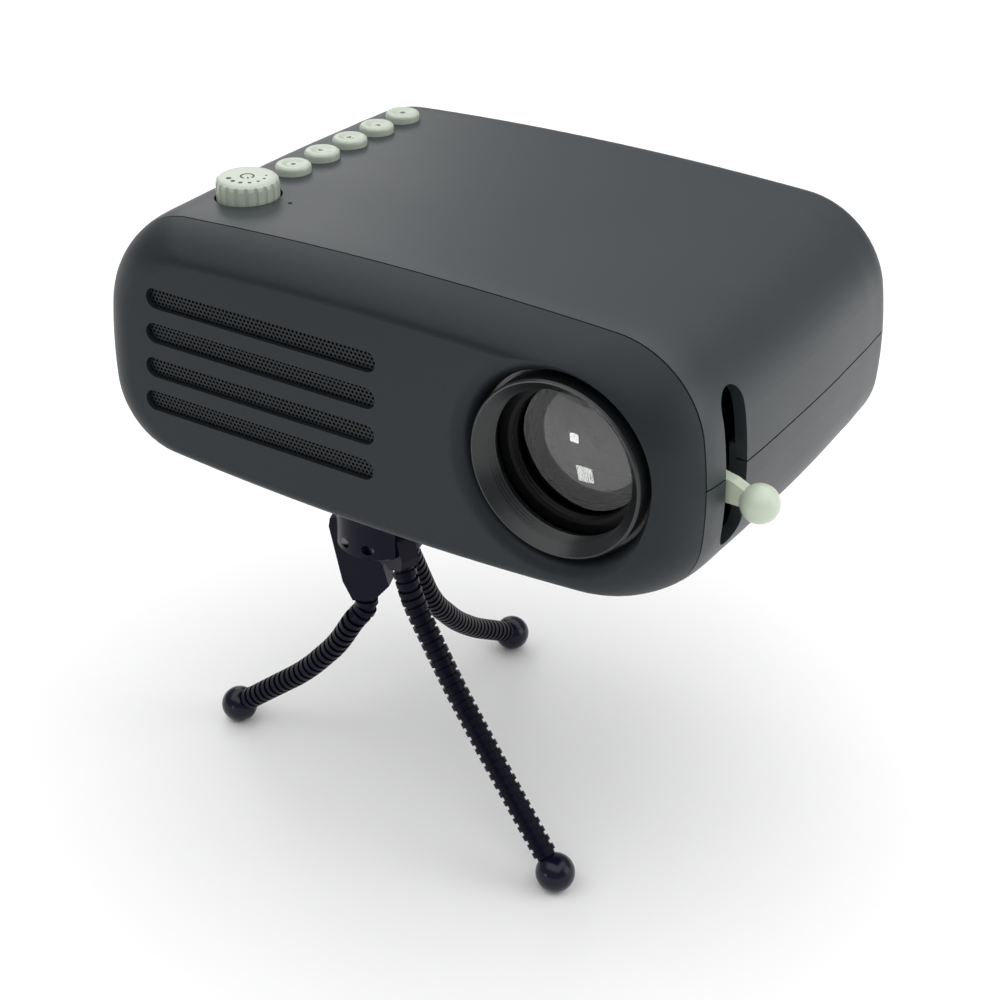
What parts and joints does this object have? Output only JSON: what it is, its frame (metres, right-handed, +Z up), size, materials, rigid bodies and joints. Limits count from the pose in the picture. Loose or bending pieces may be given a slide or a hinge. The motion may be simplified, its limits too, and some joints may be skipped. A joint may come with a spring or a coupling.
{
  "type": "mini projector on a flexible tripod",
  "caption": "Mini LED projector on a short flexible tripod, with a round recessed lens, a side focus lever, a slotted speaker grille, round top buttons and a fluted volume knob.",
  "frame": {"origin": "on the floor under the middle of the part's outer box", "axes": "+X to the right seen from the lens side, along the longest extent, +Y from the lens side to the socket side, +Z up"},
  "size_m": [0.1336, 0.089, 0.1261],
  "materials": {
    "casing_charcoal": "satin, fine texture",
    "bezel_charcoal": "satin, fine texture",
    "panel_black": "matte",
    "key_cream": "satin, lightly dished",
    "focus_green": "satin",
    "ring_black": "semi-gloss, turned",
    "lens_black": "matte black",
    "mesh_black": "fine staggered perforation",
    "coated_glass": "polished, green-blue coating",
    "clear_glass": "polished",
    "fresnel_clear": "fine concentric grooves",
    "lcd_dark": "polished",
    "engine_black": "matte",
    "sink_aluminium": "extruded",
    "led_yellow": "phosphor on a white board",
    "fan_black": "moulded",
    "speaker_steel": "steel basket, paper cone",
    "gasket_foam": "foam",
    "board_green": "solder resist",
    "chip_black": "moulded packages",
    "socket_steel": "folded sheet",
    "jack_black": "moulded",
    "screw_steel": "zinc plated",
    "insert_brass": "turned",
    "switch_steel": "can with plunger",
    "shaft_metal": "turned",
    "pipe_clear": "clear light guide",
    "pad_rubber": "matte",
    "tripod_navy": "satin",
    "leg_navy": "ribbed sleeve over wire",
    "foot_navy": "satin"
  },
  "bodies": {
    "casing": {"front_bezel": "bezel_charcoal", "top_shell": "casing_charcoal", "bottom_shell": "casing_charcoal", "rear_panel": "panel_black", "hdmi_socket": "socket_steel", "usb_socket": "socket_steel", "power_socket": "socket_steel", "av_jack": "jack_black", "main_board": "board_green", "board_chips": "chip_black", "casing_screws": "screw_steel", "board_screws": "screw_steel", "key_board": "board_green", "key_switches": "switch_steel", "volume_control": "socket_steel", "status_light": "pipe_clear", "grille_mesh": "mesh_black", "speaker_gasket": "gasket_foam", "speaker": "speaker_steel", "lens_ring": "ring_black", "lens_housing": "engine_black", "engine_housing": "engine_black", "engine_screws": "screw_steel", "fresnel_lenses": "fresnel_clear", "lcd_panel": "lcd_dark", "heat_glass": "clear_glass", "condenser_lens": "clear_glass", "led_module": "led_yellow", "heat_sink": "sink_aluminium", "fan_frame": "fan_black", "rubber_pads": "pad_rubber", "thread_insert": "insert_brass"},
    "menu_button": {"menu_button": "key_cream"},
    "back_button": {"back_button": "key_cream"},
    "play_button": {"play_button": "key_cream"},
    "forward_button": {"forward_button": "key_cream"},
    "source_button": {"source_button": "key_cream"},
    "volume_knob": {"volume_knob": "key_cream", "knob_shaft": "shaft_metal"},
    "focus_drive": {"focus_ring": "engine_black", "focus_lever": "focus_green", "lens_barrel": "lens_black", "lens_retainer": "lens_black", "front_lens": "coated_glass", "middle_lens": "clear_glass", "rear_lens": "clear_glass"},
    "fan_rotor": {"fan_impeller": "fan_black"},
    "tripod_head": {"tripod_hub": "tripod_navy", "tripod_screw": "screw_steel", "pivot_pins": "screw_steel"},
    "lock_ring": {"lock_ring": "tripod_navy"},
    "left_leg": {"left_leg_bracket": "tripod_navy", "left_leg": "leg_navy", "left_foot": "foot_navy"},
    "front_leg": {"front_leg_bracket": "tripod_navy", "front_leg": "leg_navy", "front_foot": "foot_navy"},
    "back_leg": {"back_leg_bracket": "tripod_navy", "back_leg": "leg_navy", "back_foot": "foot_navy"}
  },
  "joints": [
    {"name": "menu_press", "type": "slide", "parent": "casing", "child": "menu_button", "axis": [0, 0, -1], "range_m": [0, 0.0005], "stiffness_N_per_m": 200},
    {"name": "back_press", "type": "slide", "parent": "casing", "child": "back_button", "axis": [0, 0, -1], "range_m": [0, 0.0005], "stiffness_N_per_m": 200},
    {"name": "play_press", "type": "slide", "parent": "casing", "child": "play_button", "axis": [0, 0, -1], "range_m": [0, 0.0005], "stiffness_N_per_m": 200},
    {"name": "forward_press", "type": "slide", "parent": "casing", "child": "forward_button", "axis": [0, 0, -1], "range_m": [0, 0.0005], "stiffness_N_per_m": 200},
    {"name": "source_press", "type": "slide", "parent": "casing", "child": "source_button", "axis": [0, 0, -1], "range_m": [0, 0.0005], "stiffness_N_per_m": 200},
    {"name": "volume_turn", "type": "hinge", "parent": "casing", "child": "volume_knob", "pos_m": [-0.04483, -0.0203, 0.12615], "axis": [0, 0, 1], "range_deg": [-150, 150]},
    {"name": "focus_turn", "type": "hinge", "parent": "casing", "child": "focus_drive", "pos_m": [0.03517, -0.0257, 0.10025], "axis": [0, -1, 0], "range_deg": [-13, 31]},
    {"name": "fan_spin", "type": "hinge", "parent": "casing", "child": "fan_rotor", "pos_m": [0.00937, 0.0225, 0.10035], "axis": [1, 0, 0], "continuous": true},
    {"name": "tripod_turn", "type": "hinge", "parent": "casing", "child": "tripod_head", "pos_m": [-0.01643, -0.0209, 0.07345], "axis": [0, 0, 1], "continuous": true},
    {"name": "lock_ring_turn", "type": "hinge", "parent": "tripod_head", "child": "lock_ring", "pos_m": [-0.01643, -0.0209, 0.07345], "axis": [0, 0, 1], "continuous": true},
    {"name": "left_leg_fold", "type": "hinge", "parent": "tripod_head", "child": "left_leg", "pos_m": [-0.02132, -0.02268, 0.06075], "axis": [-0.342, 0.9397, 0], "range_deg": [0, 45]},
    {"name": "front_leg_fold", "type": "hinge", "parent": "tripod_head", "child": "front_leg", "pos_m": [-0.01155, -0.02268, 0.06075], "axis": [-0.342, -0.9397, 0], "range_deg": [-8, 16]},
    {"name": "back_leg_fold", "type": "hinge", "parent": "tripod_head", "child": "back_leg", "pos_m": [-0.01643, -0.0157, 0.06075], "axis": [1, 0, 0], "range_deg": [-10, 24]}
  ]
}
